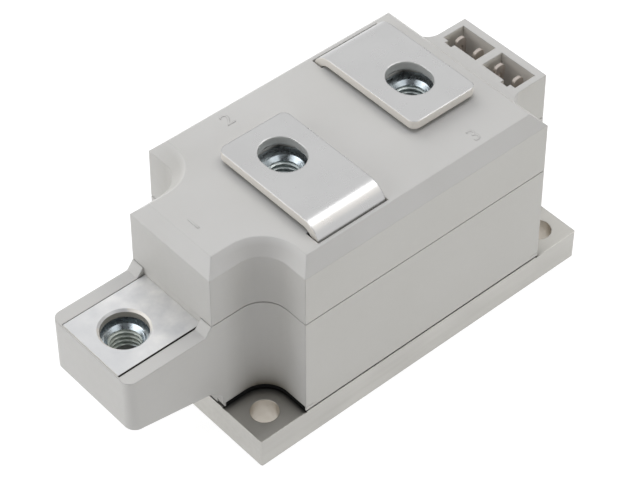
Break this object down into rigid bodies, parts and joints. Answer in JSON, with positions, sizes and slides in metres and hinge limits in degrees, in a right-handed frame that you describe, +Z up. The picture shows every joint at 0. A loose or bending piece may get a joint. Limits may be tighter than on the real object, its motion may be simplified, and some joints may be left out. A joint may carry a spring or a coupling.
{
  "type": "dual diode module",
  "caption": "Screw-terminal dual diode module: two pressure-contact diodes in series on a flat metal base, in a moulded housing with signal sockets.",
  "frame": {"origin": "centre of the base plate's underside", "axes": "+Z up from the heatsink, +X along the length towards the signal sockets, so terminal 1 stands out at -X"},
  "size_m": [0.1151, 0.05, 0.0527],
  "materials": {
    "nickel_base": "nickel-plated copper, ground",
    "terminal_metal": "nickel-plated copper, satin",
    "housing_plastic": "fine moulded grain",
    "zinc_steel": "zinc-plated steel",
    "spring_steel": "oiled",
    "seal_rubber": "silicone",
    "ceramic": "white, opaque",
    "silicon": "polished, opaque",
    "molybdenum": "lapped",
    "inner_plastic": "moulded",
    "pin_metal": "tin-plated"
  },
  "bodies": {
    "root": {"base_plate": "nickel_base", "base_seal": "seal_rubber", "lower_housing": "housing_plastic", "upper_cover": "housing_plastic", "terminal_1": "terminal_metal", "terminal_2": "terminal_metal", "terminal_3": "terminal_metal", "terminal_nut_1": "zinc_steel", "terminal_nut_2": "zinc_steel", "terminal_nut_3": "zinc_steel", "ceramic_plate_1": "ceramic", "ceramic_plate_2": "ceramic", "lower_contact_disc_1": "molybdenum", "lower_contact_disc_2": "molybdenum", "diode_wafer_1": "silicon", "diode_wafer_2": "silicon", "upper_contact_disc_1": "molybdenum", "upper_contact_disc_2": "molybdenum", "centring_ring_1": "seal_rubber", "centring_ring_2": "seal_rubber", "pressure_insulator_1": "inner_plastic", "pressure_insulator_2": "inner_plastic", "pressure_disc_1": "zinc_steel", "pressure_disc_2": "zinc_steel", "disc_springs_1": "spring_steel", "disc_springs_2": "spring_steel", "clamp_bridge_1": "zinc_steel", "clamp_bridge_2": "zinc_steel", "clamp_screws_1": "spring_steel", "clamp_screws_2": "spring_steel", "signal_pin_1": "pin_metal", "signal_pin_2": "pin_metal", "signal_pin_3": "pin_metal", "signal_pin_4": "pin_metal"}
  },
  "joints": []
}
